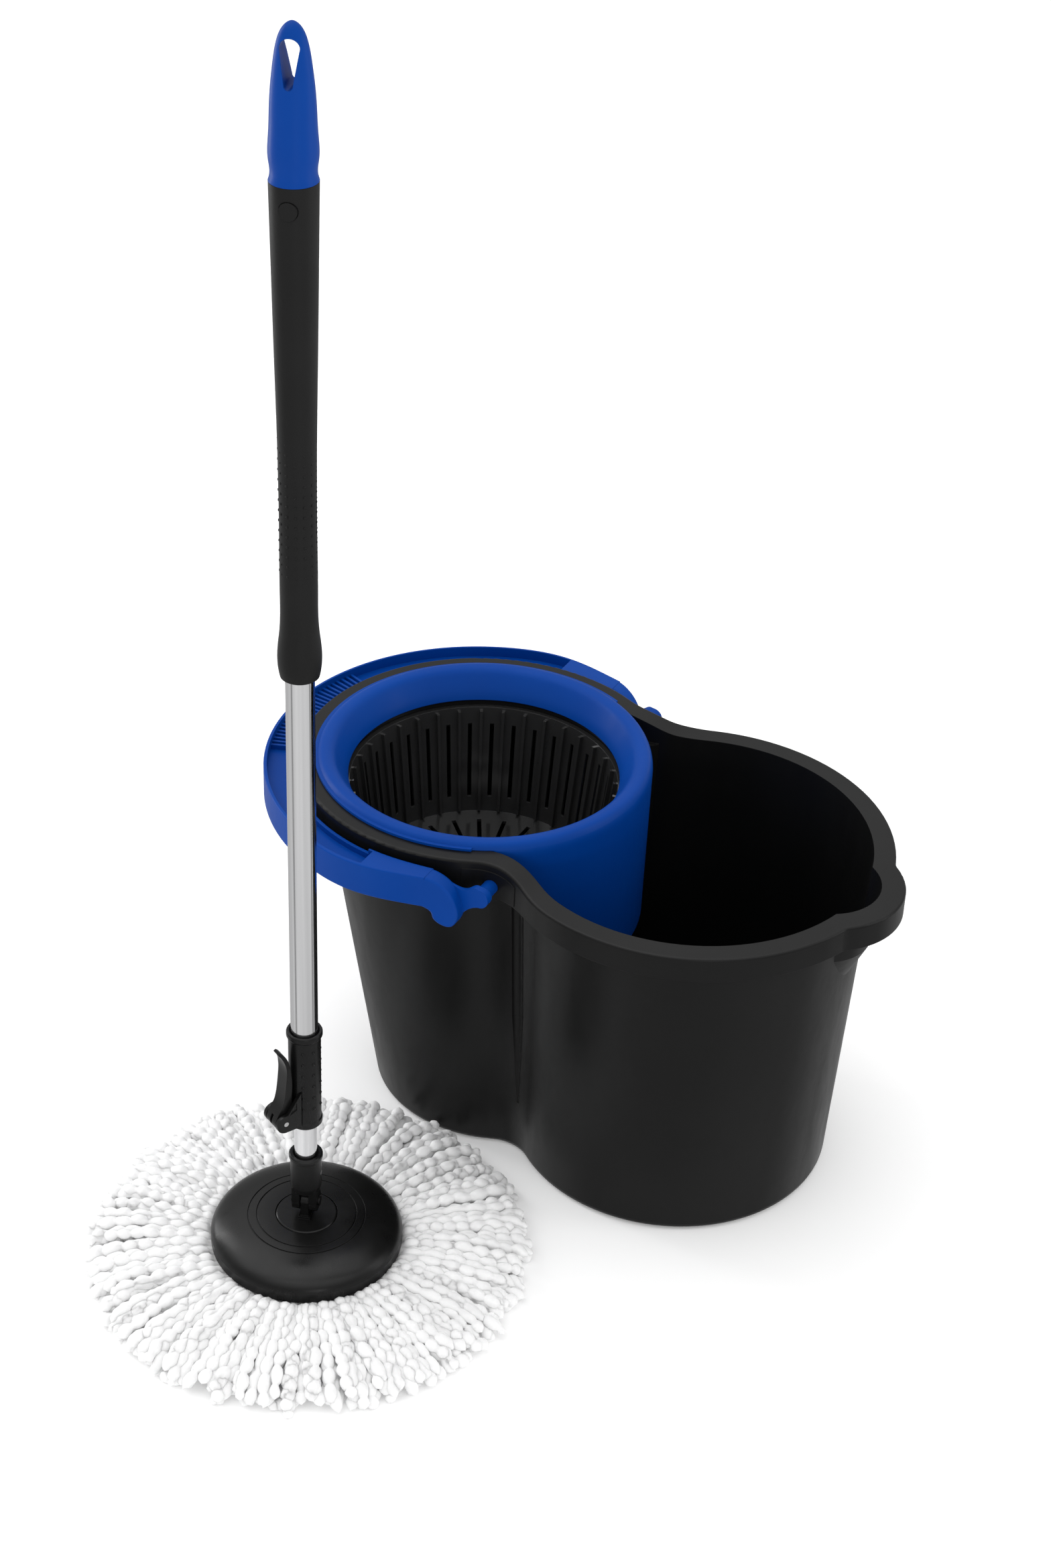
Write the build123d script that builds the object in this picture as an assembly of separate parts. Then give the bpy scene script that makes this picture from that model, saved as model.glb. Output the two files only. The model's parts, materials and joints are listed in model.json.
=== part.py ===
from build123d import *
import math
import os

# Spin mop set: two-lobe bucket with a spinning wringer basket and a bail, and a
# telescopic mop whose twisted rod turns the head when the handle is pressed.
# Millimetres, +Z up, floor at z = 0, origin under the middle of the whole set.

# ---- placement ----
LOBE_X, LOBE_Y = -92.5, 149.0         # wringer axis in the row frame
MOP_X, MOP_Y = -84.5, -143.0          # mop stick axis in the row frame
MOP_TURN = 18.0                        # stick turned about its own axis, degrees

# ---- bucket ----
LOBE_GAP = 190.0                       # wringer axis to water-side axis
TOP_Z = 320.0                          # height at which the top outline is stated
BASE_OUTLINE = (26.0, 108.0, 188.0, 132.0, 34.0)   # x1, r1, x2, r2, waist radius
TOP_OUTLINE = (0.0, 138.0, LOBE_GAP, 146.0, 62.0)
WALL = 2.4
FLOOR_T = 3.2
FOOT_H = 3.0
FOOT_W = 14.0
RIM_OUT = 14.0                         # rim lip reaches this far outside the wall
RIM_T = 3.0
RIM_ROUND = 2.2
BASE_ROUND = 7.0
SKIRT_T = 2.6
SKIRT_LEFT_H, SKIRT_RIGHT_H = 31.0, 21.0
RIM_LEFT_Z = 313.0
RIM_RIGHT_Z = 299.0
STEP_X0, STEP_X1 = 70.0, 140.0
SPOUT_X, SPOUT_R = 304.0, 62.0
SPOUT_BLEND = 12.0
GROOVE_X = 95.0
GROOVE_TOP_Z, GROOVE_MID_Z, GROOVE_TIP_Z = 290.0, 150.0, 56.0
GROOVE_ROOF = 3.0                      # wall left over the groove's top
PIVOT_X, PIVOT_Z = 80.0, 292.0
PAD_HALF, PAD_TOP_Z = 22.0, 306.0
PAD_RAISE, PAD_DROP = 0.5, 7.0

# ---- wringer ----
LIP_R = 138.0
LIP_TOP_Z = 319.0
MOUTH_R = 111.5
INSERT_Z = 166.0
CUP_TOP_R, CUP_BOTTOM_R = 118.8, 107.5
CUP_TOP_Z = 299.0
BASKET_TOP_R, BASKET_BOTTOM_R = 112.5, 100.5
BASKET_TOP_Z, BASKET_FLOOR_Z = 288.5, 186.0
RIB_COUNT = 36
AXLE_R = 4.0
AXLE_TOP_Z = 207.5
STUD_R = 6.0

# ---- bail ----
BAIL_OUT_R, BAIL_IN_R = 181.0, 156.0
BAIL_TOP_Z, BAIL_BOTTOM_Z = 307.0, 279.0
BAIL_WALL = 2.8
BAIL_EDGE = 1.4
BAIL_CROWN = 120.0                     # the crown arc ends at this angle
BAIL_END_Y = (144.5, 157.5)
BAIL_OPEN_X = -12.0                    # the channel is open on top up to here
HEEL_ROUND, NECK_ROUND = 2.5, 1.5
NECK_OUT_Y = 153.0
PIN_R = 6.0
PIVOT_GAP = 0.2
RUN_GAP = 0.06

# ---- mop head ----
STRAND_R = 184.0
PLATE_R = 76.5
HUB_R = 24.2
TILT_Z = 58.0
SOCKET_R = 12.4
SOCKET_TOP_Z = 107.0

# ---- stick ----
LOWER_R, LOWER_T = 9.0, 0.8
LOWER_TOP_Z = 570.0
UPPER_R, UPPER_T = 10.5, 1.0
UPPER_Z0, UPPER_Z1 = 178.0, 852.0
COLLAR_Z0, COLLAR_Z1 = 140.0, 230.0
COLLAR_R = 12.6
LEVER_ANGLE = 225.0                    # side of the collar that carries the lever
LEVER_PIN_R, LEVER_PIN_OUT, LEVER_PIN_Z = 2.0, 23.0, 153.0
ROD_W, ROD_T = 6.0, 1.8
ROD_Z0, ROD_Z1 = 290.0, 844.0
ROD_PITCH = 110.0
NUT_Z = 570.2
SLEEVE_Z0, SLEEVE_Z1 = 546.0, 910.0
BUTTON_Z, BUTTON_R = 895.0, 6.2


def lathe(points):
    """Solid of revolution about Z from (radius, height) points."""
    profile = make_face(Plane.XZ * Polyline(*points, close=True))
    return revolve(profile, Axis.Z)


def ring(r_out, r_in, z0, z1):
    """Plain tube piece about Z."""
    body = Pos(0, 0, z0) * Cylinder(r_out, z1 - z0, align=(Align.CENTER, Align.CENTER, Align.MIN))
    if r_in > 0:
        body -= Pos(0, 0, z0 - 1) * Cylinder(r_in, z1 - z0 + 2, align=(Align.CENTER, Align.CENTER, Align.MIN))
    return body


def rod_y(x, z, radius, y0, y1):
    """Cylinder along Y between y0 and y1."""
    return Pos(x, (y0 + y1) / 2, z) * Rot(90, 0, 0) * Cylinder(radius, abs(y1 - y0))


def rod_x(y, z, radius, x0, x1):
    """Cylinder along X between x0 and x1."""
    return Pos((x0 + x1) / 2, y, z) * Rot(0, 90, 0) * Cylinder(radius, abs(x1 - x0))


def block(x0, x1, y0, y1, z0, z1):
    """Box from its six limits."""
    return Pos((x0 + x1) / 2, (y0 + y1) / 2, (z0 + z1) / 2) * Box(x1 - x0, y1 - y0, z1 - z0)


# ---------------------------------------------------------------- bucket

def waist_circle(x1, r1, x2, r2, rw):
    """Centre of the waist arc that touches both lobes, on the +Y side."""
    gap = x2 - x1
    d1, d2 = r1 + rw, r2 + rw
    along = (d1 ** 2 - d2 ** 2 + gap ** 2) / (2 * gap)
    return x1 + along, math.sqrt(d1 ** 2 - along ** 2)


def two_lobe(x1, r1, x2, r2, rw):
    """Face bounded by two lobes and two concave waist arcs."""
    xw, yw = waist_circle(x1, r1, x2, r2, rw)
    left = Vector(x1, 0)
    right = Vector(x2, 0)
    waist = Vector(xw, yw)
    t1 = left + (waist - left).normalized() * r1
    t2 = right + (waist - right).normalized() * r2
    mid = waist + ((t1 - waist).normalized() + (t2 - waist).normalized()).normalized() * rw
    flip = lambda p: (p.X, -p.Y)
    top = lambda p: (p.X, p.Y)
    edges = [
        ThreePointArc(flip(t1), (x1 - r1, 0), top(t1)),
        ThreePointArc(top(t1), top(mid), top(t2)),
        ThreePointArc(top(t2), (x2 + r2, 0), flip(t2)),
        ThreePointArc(flip(t2), flip(mid), flip(t1)),
    ]
    return make_face(Curve() + edges)


def outline(z, inset):
    """Wall outline numbers at height z, drawn in by inset."""
    t = z / TOP_Z
    x1, r1, x2, r2, rw = [a + (b - a) * t for a, b in zip(BASE_OUTLINE, TOP_OUTLINE)]
    return x1, r1 - inset, x2, r2 - inset, rw + inset


def lobe_loft(z0, z1, inset):
    """Tapered two-lobe solid between two heights."""
    low = Pos(0, 0, z0) * two_lobe(*outline(z0, inset))
    high = Pos(0, 0, z1) * two_lobe(*outline(z1, inset))
    return loft([low, high], ruled=True)


def spout_cone(inset):
    """Bulge of the wall below the pouring lip."""
    stations = [(222.0, 301.0, 30.6), (250.0, 304.0, 40.0), (TOP_Z, SPOUT_X, SPOUT_R - RIM_OUT)]
    faces = [Pos(x, 0, z) * Circle(r - inset) for z, x, r in stations]
    return loft(faces[:2], ruled=True) + loft(faces[1:], ruled=True)


def waist_cone(side, radius, tip, roof):
    """Tapered rod that follows the wall at the waist groove, higher by roof at the top."""
    faces = []
    for z, r, out in ((GROOVE_TOP_Z + roof, radius, 1.2), (GROOVE_MID_Z, radius, 1.2), (GROOVE_TIP_Z, tip, 0.6)):
        x1, r1, x2, r2, rw = outline(z, 0)
        xw, yw = waist_circle(x1, r1, x2, r2, rw)
        y = yw - math.sqrt(rw ** 2 - (GROOVE_X - xw) ** 2)
        faces.append(Pos(GROOVE_X, side * (y + out), z) * Circle(r))
    return loft(faces, ruled=True)


def under_rim(drop_left, drop_right):
    """Everything below the rim line lowered by different drops left and right."""
    zl, zr = RIM_LEFT_Z - drop_left, RIM_RIGHT_Z - drop_right
    mid_x = (STEP_X0 + STEP_X1) / 2
    edges = [
        Line((-260, zl), (STEP_X0, zl)),
        Bezier((STEP_X0, zl), (mid_x, zl), (mid_x, zr), (STEP_X1, zr)),
        Polyline((STEP_X1, zr), (430, zr), (430, -20), (-260, -20), (-260, zl)),
    ]
    return extrude(Plane.XZ * make_face(Curve() + edges), amount=260, both=True)


def rim_face(inset):
    """Plan of the rim with the pouring lip blended in."""
    x1, r1, x2, r2, rw = outline(TOP_Z, 0)
    lobes = two_lobe(x1, r1 + RIM_OUT, x2, r2 + RIM_OUT, rw - RIM_OUT)
    plan = lobes + Pos(SPOUT_X, 0) * Circle(SPOUT_R)
    shoulders = [v for v in plan.vertices() if v.X > 300]
    plan = fillet(shoulders, SPOUT_BLEND)
    return offset(plan, -inset) if inset else plan


def bucket_cavity(inset):
    """Inside of the bucket, drawn in further by inset."""
    hollow = lobe_loft(FOOT_H + FLOOR_T, TOP_Z + 10, WALL + inset) + spout_cone(WALL + inset)
    for side in (-1, 1):
        hollow -= waist_cone(side, 8.4 + inset, 3.8 + inset, GROOVE_ROOF + inset)
    return hollow


def round_rim(bucket):
    """Bucket with the outer top edge of its rim rounded."""
    line = rim_face(0).wire()
    high = [e for e in bucket.edges() if (e @ 0.5).Z > RIM_RIGHT_Z - 0.5]
    outer = [e for e in high if line.distance_to(Vertex((e @ 0.5).X, (e @ 0.5).Y, 0)) < 0.3]
    return bucket.solid().fillet(RIM_ROUND, outer)


def make_bucket():
    """Moulded bucket with rim, skirt, spout, waist grooves and foot ring."""
    wall = lobe_loft(0, TOP_Z + 5, 0)
    wall = fillet(wall.faces().sort_by(Axis.Z)[0].edges(), BASE_ROUND) + spout_cone(0)
    for side in (-1, 1):
        wall -= waist_cone(side, 6.0, 1.4, 0)
    cavity = bucket_cavity(0)
    foot = extrude(two_lobe(*outline(0, FOOT_W)), FOOT_H)
    top = under_rim(0, 0)
    shell = ((wall & top) - cavity) - foot

    plan = extrude(rim_face(0), TOP_Z)
    lip = ((plan & top) - under_rim(RIM_T, RIM_T)) - cavity
    inner_plan = extrude(rim_face(SKIRT_T), TOP_Z)
    hoop = plan - inner_plan
    skirt = (hoop & top) - under_rim(SKIRT_LEFT_H, SKIRT_RIGHT_H)
    pad_box = block(PIVOT_X - PAD_HALF, PIVOT_X + PAD_HALF, -200, 200, RIM_LEFT_Z - SKIRT_LEFT_H, PAD_TOP_Z)
    pads = (extrude(rim_face(-PAD_RAISE), TOP_Z) - inner_plan) & under_rim(PAD_DROP, PAD_DROP) & pad_box
    bucket = round_rim(shell + lip + skirt) + pads
    for side in (-1, 1):
        bucket -= rod_y(PIVOT_X, PIVOT_Z, PIN_R + PIVOT_GAP, side * 124, side * 146)
    return bucket


# ---------------------------------------------------------------- wringer

def make_wringer_lip():
    """Dished mouth ring with the curved partition below it."""
    outer = [
        Line((136.4, INSERT_Z + 4), (LIP_R, 306)),
        Spline((LIP_R, 306), (136.4, 315), (130.5, LIP_TOP_Z), tangents=((0, 1), (-1, 0))),
        Spline((130.5, LIP_TOP_Z), (119.5, 311), (MOUTH_R, 295), tangents=((-1, 0), (-0.25, -1))),
        Line((MOUTH_R, 295), (MOUTH_R + 2.6, 295)),
        Spline((MOUTH_R + 2.6, 295), (121.5, 308.6), (130.5, LIP_TOP_Z - 2.7), tangents=((0.25, 1), (1, 0))),
        Spline((130.5, LIP_TOP_Z - 2.7), (134.2, 313), (LIP_R - 2.7, 306), tangents=((1, 0), (0, -1))),
        Line((LIP_R - 2.7, 306), (133.8, INSERT_Z + 4)),
        Line((133.8, INSERT_Z + 4), (136.4, INSERT_Z + 4)),
    ]
    sheet = revolve(Plane.XZ * make_face(Curve() + outer), Axis.Z)
    fit = bucket_cavity(0.8)
    seat = RIM_LEFT_Z + 0.1
    above = block(-160, 160, -160, 160, seat, TOP_Z + 5)
    below = sheet & fit & block(-160, 160, -160, 160, 150, seat)
    bead = ring(139.2, 135.0, seat, seat + 2.2) & block(-160, 58, -160, 160, 300, TOP_Z)
    lip = (sheet & above) + below + bead
    return max(lip.solids(), key=lambda s: s.volume)


def make_basket_cradle():
    """Windowed cup with floor and axle boss that hangs below the lip."""
    cup = lathe([
        (4, 160), (16, 160), (16, INSERT_Z), (CUP_BOTTOM_R, INSERT_Z), (CUP_TOP_R, CUP_TOP_Z),
        (CUP_TOP_R - 2.2, CUP_TOP_Z), (CUP_BOTTOM_R - 2.2, INSERT_Z + 3), (16, INSERT_Z + 3),
        (16, 178), (4, 178),
    ])
    windows = [
        Rot(0, 0, 60 * k) * block(90, 125, -34, 34, 188, 268)
        for k in range(6)
    ]
    drains = [
        Rot(0, 0, 30 * k + 15) * block(40, 92, -4, 4, INSERT_Z - 2, INSERT_Z + 5)
        for k in range(12)
    ]
    ribs = [
        Rot(0, 0, 60 * k) * block(15, CUP_BOTTOM_R - 3, -1.2, 1.2, INSERT_Z + 2, INSERT_Z + 7)
        for k in range(6)
    ]
    return (cup + ribs) - windows - drains


def make_axle():
    """Steel spindle with a clip groove near its top."""
    return lathe([
        (0, 160), (AXLE_R, 160), (AXLE_R, 204.3), (3.2, 204.3), (3.2, 205.5),
        (AXLE_R, 205.5), (AXLE_R, AXLE_TOP_Z), (0, AXLE_TOP_Z),
    ])


def make_axle_clip():
    """Open spring clip in the groove of the axle."""
    clip = ring(7.0, 3.2, 204.4, 205.4)
    return clip - block(0, 10, -2.4, 2.4, 200, 210)


def make_basket():
    """Spinning basket: tapered wall, inner ribs, drain slots, floor and boss."""
    slope = (BASKET_TOP_R - BASKET_BOTTOM_R) / (BASKET_TOP_Z - BASKET_FLOOR_Z)
    wall = lathe([
        (8, BASKET_FLOOR_Z), (BASKET_BOTTOM_R, BASKET_FLOOR_Z), (BASKET_TOP_R, 286),
        (115, 286), (115, BASKET_TOP_Z), (BASKET_TOP_R - 2, BASKET_TOP_Z),
        (BASKET_BOTTOM_R - 1.8, BASKET_FLOOR_Z + 3), (30, BASKET_FLOOR_Z + 3),
        (22, 197), (22, 203.6), (8, 203.6),
    ])
    lean = math.degrees(math.atan(slope))
    mid_r = (BASKET_TOP_R + BASKET_BOTTOM_R) / 2 - 3.4
    mid_z = (BASKET_TOP_Z + BASKET_FLOOR_Z) / 2 + 1
    ribs = []
    slots = []
    for k in range(RIB_COUNT):
        turn = 360 / RIB_COUNT * k
        ribs.append(Rot(0, 0, turn) * Pos(mid_r, 0, mid_z) * Rot(0, lean, 0) * Box(3.6, 2.6, 96))
        slots.append(Rot(0, 0, turn + 180 / RIB_COUNT) * Pos(mid_r + 2, 0, mid_z) * Rot(0, lean, 0) * Box(9, 3.4, 70))
    drains = [
        Rot(0, 0, 15 * k) * block(48, 86, -1.8, 1.8, BASKET_FLOOR_Z - 1, BASKET_FLOOR_Z + 4)
        for k in range(24)
    ]
    return (wall + ribs) - slots - drains


def make_basket_stud():
    """Cap over the clip with the stud that centres the mop head."""
    return lathe([
        (9.5, 203.7), (21, 203.7), (21, 207), (12, 209.6), (STUD_R, 209.8), (STUD_R, 220),
        (4.5, 222), (0, 222), (0, 208.4), (9.5, 208.4),
    ])


# ---------------------------------------------------------------- bail

def bail_side(radius, angle, end_y):
    """One side line of the bail plan, from pivot to pivot round the crown."""
    crown = math.radians(BAIL_CROWN)
    shoulder = math.radians(angle)
    line = []
    for side in (-1, 1):
        start = (radius * math.cos(crown), side * radius * math.sin(crown))
        middle = (radius * math.cos(shoulder), side * radius * math.sin(shoulder))
        along = (math.sin(crown), -side * math.cos(crown))
        end = (PIVOT_X + 10, side * end_y)
        line.append(Spline(start, middle, end, tangents=(along, (1, -0.15 * side))))
        line.append(ThreePointArc(start, (-radius * math.cos(0.3), side * radius * math.sin(0.3)), (-radius, 0)))
    return line


def bail_plan(shrink):
    """Plan of the bail, narrowed by shrink on each side."""
    end = PIVOT_X + 10
    outer = bail_side(BAIL_OUT_R - shrink, 100, BAIL_END_Y[1] - shrink)
    inner = bail_side(BAIL_IN_R + shrink, 96, BAIL_END_Y[0] + shrink)
    caps = [
        Line((end, side * (BAIL_END_Y[1] - shrink)), (end, side * (BAIL_END_Y[0] + shrink)))
        for side in (-1, 1)
    ]
    return make_face(Curve() + outer + inner + caps)


def side_shape(edges, round_by):
    """Side profile about the pivot, cut to the bail's plan and softened."""
    profile = Plane.XZ * Pos(PIVOT_X, PIVOT_Z) * make_face(Curve() + edges)
    both = extrude(profile, 175, both=True) & extrude(bail_plan(0), 320)
    joint_x = profile.bounding_box().min.X + 1
    ends = []
    for solid in both.solids():
        free = [e for e in solid.edges() if e.bounding_box().max.X > joint_x]
        ends.append(solid.fillet(round_by, free))
    return ends


def make_bail_ends():
    """Both ends of the bail: a drooping heel outside, and a neck that rises to the pivot."""
    heel = side_shape([
        Spline((-44, 15), (-31, 12), (-19.5, 2), (-14, -12), (-16, -25), tangents=((1, 0), (-0.5, -1))),
        Spline((-16, -25), (-24, -29), (-34, -22.5), (-44, -13), tangents=((-0.5, -1), (-1, 0.3))),
        Line((-44, -13), (-44, 15)),
    ], HEEL_ROUND)
    neck = side_shape([
        Spline((-34, 11), (-22, 5.5), (-11, 4.5), (-4, 9), (0, 8.6), tangents=((1, -0.4), (1, -0.2))),
        ThreePointArc((0, 8.6), (8.2, 0), (0, -8)),
        Spline((0, -8), (-9, -13), (-16, -20), (-34, -18), tangents=((-1, -0.3), (-1, 0.2))),
        Line((-34, -18), (-34, 11)),
    ], NECK_ROUND)
    inner = block(-200, 200, -NECK_OUT_Y, NECK_OUT_Y, 0, 400)
    return heel + [n & inner for n in neck]


def make_bail():
    """Channel-section carrying handle with grip ribs, drooping ends and pivot stubs."""
    height = BAIL_TOP_Z - BAIL_BOTTOM_Z
    arms = (extrude(bail_plan(0), height) & block(-200, PIVOT_X - 40, -200, 200, 0, height)).solid()
    rims = [e for e in arms.edges() if e.bounding_box().size.Z < 0.1 and e.length > 30]
    body = Pos(0, 0, BAIL_BOTTOM_Z) * arms.fillet(BAIL_EDGE, rims)
    pocket = extrude(bail_plan(BAIL_WALL), height) & block(-200, BAIL_OPEN_X, -200, 200, 0, height)
    body -= Pos(0, 0, BAIL_TOP_Z - 9) * pocket
    body -= Pos(0, 0, BAIL_BOTTOM_Z - height + 13) * pocket
    low_side = ring(BAIL_IN_R + BAIL_WALL + 0.2, BAIL_IN_R - 4, BAIL_TOP_Z - 4, BAIL_TOP_Z + 1)
    body -= low_side & block(-200, -16, -200, 200, 290, 320)
    mean = (BAIL_OUT_R + BAIL_IN_R) / 2
    half = (BAIL_OUT_R - BAIL_IN_R) / 2 - 1
    for k in range(25):
        body += Rot(0, 0, 180 + 1.75 * (k - 12)) * Pos(mean, 0, BAIL_TOP_Z - 7.4) * Box(2 * half, 2.2, 5.2)
    body += make_bail_ends()
    for side in (-1, 1):
        body += rod_y(PIVOT_X, PIVOT_Z, PIN_R, side * 121.5, side * 150)
    return body


# ---------------------------------------------------------------- mop head

def make_strands():
    """Envelope of the flattened fringe of yarn."""
    return lathe([
        (50, 0), (178, 0), (STRAND_R, 4), (182, 13), (160, 21), (110, 25), (86, 22), (78.5, 13.4), (50, 13.4),
    ])


def make_refill_ring():
    """Ring that carries the yarn and snaps up into the plate."""
    return lathe([
        (50, 13.5), (73.2, 13.5), (73.2, 16.2), (71, 16.2), (71, 24), (68.6, 24), (68.6, 16.2),
        (52.4, 16.2), (52.4, 21), (50, 21),
    ])


def make_plate():
    """Domed plate with a hub recess and two fine grooves."""
    crown = Spline((27, 43.4), (52, 41.8), (66, 37.6), (PLATE_R, 27), tangents=((1, 0), (0.25, -1)))
    under = Spline((PLATE_R - 2.6, 27), (64.8, 35.2), (51.5, 39.2), (27, 40.8), tangents=((-0.25, 1), (-1, 0)))
    edges = [
        Polyline((14.3, 37.6), (14.3, 40.2), (24.8, 40.2), (24.8, 43.4), (27, 43.4)),
        crown,
        Polyline((PLATE_R, 27), (PLATE_R, 18.6), (PLATE_R - 2.6, 18.6), (PLATE_R - 2.6, 27)),
        under,
        Polyline((27, 40.8), (27, 37.6), (14.3, 37.6)),
    ]
    plate = revolve(Plane.XZ * make_face(Curve() + edges), Axis.Z)
    for r, z in ((39.6, 42.9), (46.6, 42.4)):
        plate -= ring(r + 0.5, r - 0.5, z - 0.5, z + 2)
    return plate


def make_plate_hub():
    """Round hub with a centre ear for the tilt pin and a socket underneath."""
    base = lathe([
        (0, 43.8), (0, 42.6), (STUD_R + 0.15, 42.6), (STUD_R + 0.15, 32.6), (14.2, 32.6), (14.2, 40.3),
        (HUB_R, 40.3), (HUB_R, 43.2), (HUB_R - 0.8, 44), (8, 44), (0, 44),
    ])
    ear = block(-3.2, 3.2, -7, 7, 43.5, TILT_Z) + rod_x(0, TILT_Z, 7, -3.2, 3.2)
    foot = block(-4.8, 4.8, -9, 9, 43.5, 46)
    return (base + ear + foot) - rod_x(0, TILT_Z, 2.5 + RUN_GAP, -5, 5)


def make_hub_retainer():
    """Ring that holds the hub up in the plate."""
    return ring(20, 14.2, 33.4, 37.5)


def make_yoke():
    """Socket for the tube with two hooked arms that straddle the ear."""
    socket = lathe([
        (0, 70.5), (SOCKET_R - 1.4, 70.5), (SOCKET_R, 76), (SOCKET_R, 102.5), (SOCKET_R + 1, 103.6),
        (SOCKET_R + 1, SOCKET_TOP_Z - 1), (SOCKET_R, SOCKET_TOP_Z), (LOWER_R + 1.4, SOCKET_TOP_Z),
        (LOWER_R, SOCKET_TOP_Z - 2.2), (LOWER_R, 74.5), (0, 74.5),
    ])
    side = [
        Line((-8.6, 74.5), (-8.6, TILT_Z + 1.5)),
        ThreePointArc((-8.6, TILT_Z + 1.5), (-1.5, TILT_Z - 8.4), (8.2, TILT_Z - 1.5)),
        Spline((8.2, TILT_Z - 1.5), (5.6, 66), (9.4, 74.5), tangents=((0.3, 1), (0.5, 1))),
        Line((9.4, 74.5), (-8.6, 74.5)),
    ]
    arm = extrude(Plane.YZ * make_face(Curve() + side), 6.2)
    body = socket + Pos(3.6, 0, 0) * arm + Pos(-9.8, 0, 0) * arm
    return body - rod_x(0, TILT_Z, 2.5, -12, 12) - rod_x(0, 88, 2.0, -16, 16)


def make_yoke_pin():
    """Headed pin through both arms and the ear."""
    heads = rod_x(0, TILT_Z, 4, -11.4, -9.9) + rod_x(0, TILT_Z, 4, 9.9, 11.4)
    return rod_x(0, TILT_Z, 2.5, -11, 11) + heads


# ---------------------------------------------------------------- stick

def make_lower_tube():
    """Inner chrome tube, cross-drilled for its rivet."""
    return ring(LOWER_R, LOWER_R - LOWER_T, 74.6, LOWER_TOP_Z) - rod_x(0, 88, 2.0, -16, 16)


def make_clutch_ring():
    """Toothed ring pressed into the top of the lower tube."""
    body = ring(LOWER_R - LOWER_T, 4.4, 557, 568)
    teeth = [Rot(0, 0, 45 * k) * block(4.6, 7.4, -0.7, 0.7, 567.5, 569) for k in range(8)]
    return body + teeth


def make_guide_bush():
    """Bush that centres the lower tube inside the upper one."""
    return lathe([
        (7.7, NUT_Z - 1), (8.0, NUT_Z - 1), (8.0, NUT_Z), (UPPER_R - UPPER_T - 0.08, NUT_Z),
        (UPPER_R - UPPER_T - 0.08, 594), (7.7, 594),
    ])


def make_drive_nut():
    """Slotted nut that the twisted rod turns as it passes."""
    body = lathe([
        (4.6, NUT_Z + 0.3), (7.4, NUT_Z + 0.3), (7.4, 584), (4.6, 584), (4.6, 579.5), (0, 579.5),
        (0, 577), (4.6, 577),
    ])
    teeth = [Rot(0, 0, 45 * k + 22.5) * block(4.8, 7.2, -0.7, 0.7, NUT_Z - 0.4, NUT_Z + 1) for k in range(8)]
    turn = 360 / ROD_PITCH * (578.25 - ROD_Z0)
    slot = Pos(0, 0, 578.25) * Rot(0, 0, turn) * Box(ROD_W + 0.9, ROD_T + 0.9, 4)
    return (body + teeth) - slot


def make_nut_retainer():
    """Ring that keeps the nut in the bush."""
    return ring(7.7, 4.6, 584.4, 588)


def make_twist_rod():
    """Flat steel bar twisted to a constant pitch."""
    turn = 360 / ROD_PITCH * (ROD_Z1 - ROD_Z0)
    section = Rectangle(ROD_W, ROD_T).face()
    twisted = Solid.extrude_linear_with_rotation(section, (0, 0, 0), (0, 0, ROD_Z1 - ROD_Z0), turn)
    return Pos(0, 0, ROD_Z0) * twisted - rod_y(0, 835, 1.5, -16, 16)


def make_rod_stop():
    """Small sleeve crimped on the rod's lower end."""
    return ring(4.1, 3.14, ROD_Z0 + 1, ROD_Z0 + 7)


def make_rod_anchor():
    """Plug that fixes the rod in the top of the upper tube."""
    return ring(UPPER_R - UPPER_T, 3.14, 822, 848) - rod_y(0, 835, 1.5, -16, 16)


def make_clamp_collar():
    """Split collar with flanges and two lugs for the lever."""
    body = lathe([
        (COLLAR_R, COLLAR_Z0 + 6), (13.4, COLLAR_Z0 + 5), (13.4, COLLAR_Z0 + 1), (COLLAR_R, COLLAR_Z0),
        (10.0, COLLAR_Z0), (10.0, UPPER_Z0 - 2), (UPPER_R, UPPER_Z0 - 0.2), (UPPER_R, COLLAR_Z1 - 2),
        (UPPER_R + 1.3, COLLAR_Z1), (13.4, COLLAR_Z1), (14.0, COLLAR_Z1 - 1.2), (14.0, COLLAR_Z1 - 4),
        (COLLAR_R, COLLAR_Z1 - 6),
    ])
    for side in (-1, 1):
        lug = block(9.5, LEVER_PIN_OUT, -1.7, 1.7, LEVER_PIN_Z - 8, LEVER_PIN_Z + 8)
        lug += rod_y(LEVER_PIN_OUT, LEVER_PIN_Z, 8, -1.7, 1.7)
        web = make_face(Plane.XZ * Polyline((9.5, 178), (9.5, 160), (22, 160), close=True))
        lug += extrude(web, 1.7, both=True)
        pocket = Plane.XZ * make_face(Polyline((13.5, 171), (13.5, 163), (20, 160.5), close=True))
        lug -= Pos(0, side * 1.7, 0) * extrude(pocket, 0.8, both=True)
        body += Rot(0, 0, LEVER_ANGLE) * Pos(0, side * 8.8, 0) * lug
    slit = Rot(0, 0, LEVER_ANGLE) * block(5, 16, -1.1, 1.1, COLLAR_Z0 - 1, 176)
    bore = ring(10.0, 0, COLLAR_Z0 - 1, UPPER_Z0 - 2) + ring(UPPER_R, 0, UPPER_Z0 - 3, COLLAR_Z1)
    pin_hole = Rot(0, 0, LEVER_ANGLE) * rod_y(LEVER_PIN_OUT, LEVER_PIN_Z, LEVER_PIN_R, -14, 14)
    return body - slit - bore - pin_hole


def make_clamp_liner():
    """Thin split liner that grips the lower tube."""
    liner = ring(10.0, LOWER_R + RUN_GAP, COLLAR_Z0 + 1, UPPER_Z0 - 3)
    return liner - Rot(0, 0, LEVER_ANGLE) * block(5, 16, -1.1, 1.1, COLLAR_Z0, UPPER_Z0)


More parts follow.
